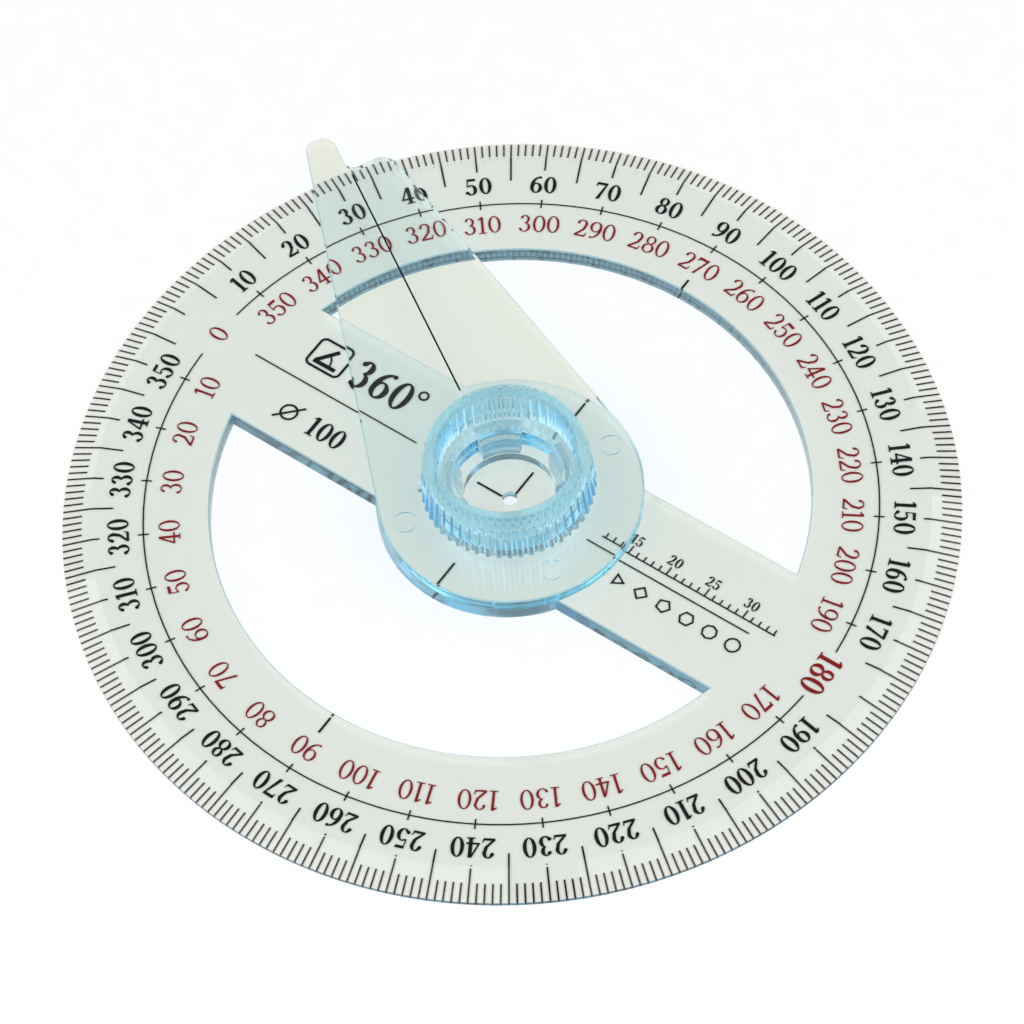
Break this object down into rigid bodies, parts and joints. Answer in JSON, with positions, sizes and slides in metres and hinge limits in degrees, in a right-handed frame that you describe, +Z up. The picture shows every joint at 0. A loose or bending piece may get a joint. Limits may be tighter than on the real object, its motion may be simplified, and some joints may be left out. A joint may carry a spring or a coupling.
{
  "type": "swing-arm protractor",
  "caption": "Clear plastic full-circle protractor with a printed degree scale, a crossbar between two windows, a swinging index arm and a knurled pivot knob.",
  "frame": {"origin": "pivot axis at the underside of the dial", "axes": "+Z up out of the dial, towards the knob; -X towards the 0 mark and +Y towards the 90 mark of the outer scale"},
  "size_m": [0.1, 0.1, 0.0105],
  "materials": {
    "clear_plastic": "clear, moulded and polished",
    "blue_plastic": "clear pale blue, moulded",
    "black_ink": "printed ink",
    "red_ink": "printed ink"
  },
  "bodies": {
    "dial": {"dial_plate": "clear_plastic", "degree_ticks": "black_ink", "outer_numerals": "black_ink", "inner_numerals": "red_ink", "axis_numerals": "red_ink", "scale_arc": "black_ink", "axis_lines": "black_ink", "plate_marks": "black_ink"},
    "arm": {"swing_arm": "clear_plastic", "index_hairline": "black_ink"},
    "knob": {"knurled_knob": "blue_plastic"}
  },
  "joints": [
    {"name": "arm_swing", "type": "hinge", "parent": "dial", "child": "arm", "pos_m": [0, 0, 0.00305], "axis": [0, 0, 1], "continuous": true},
    {"name": "knob_turn", "type": "hinge", "parent": "dial", "child": "knob", "pos_m": [0, 0, 0.006], "axis": [0, 0, 1], "continuous": true}
  ]
}
